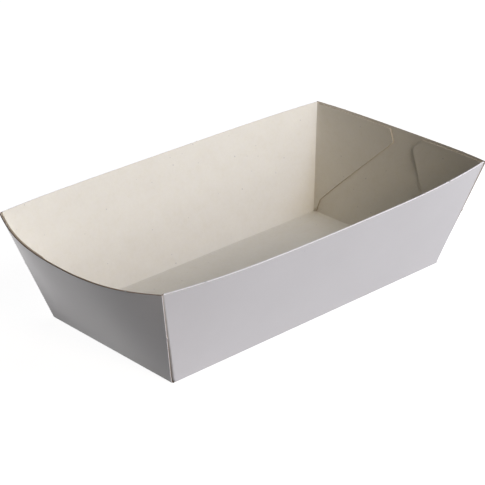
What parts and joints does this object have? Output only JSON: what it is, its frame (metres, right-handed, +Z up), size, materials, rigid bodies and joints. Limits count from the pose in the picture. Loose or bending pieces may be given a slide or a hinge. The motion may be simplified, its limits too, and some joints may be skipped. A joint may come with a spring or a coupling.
{
  "type": "paper food tray",
  "caption": "Open oblong paperboard tray for takeaway food, folded from one blank, with flared bowed walls and glued end flaps.",
  "frame": {"origin": "centre of the underside of the base", "axes": "+X along the tray's length, +Y across it, +Z up out of the open top"},
  "size_m": [0.194, 0.1107, 0.0473],
  "materials": {
    "board": "white satin coating outside, uncoated grey-cream recycled board inside"
  },
  "bodies": {
    "root": {"tray": "board"}
  },
  "joints": []
}
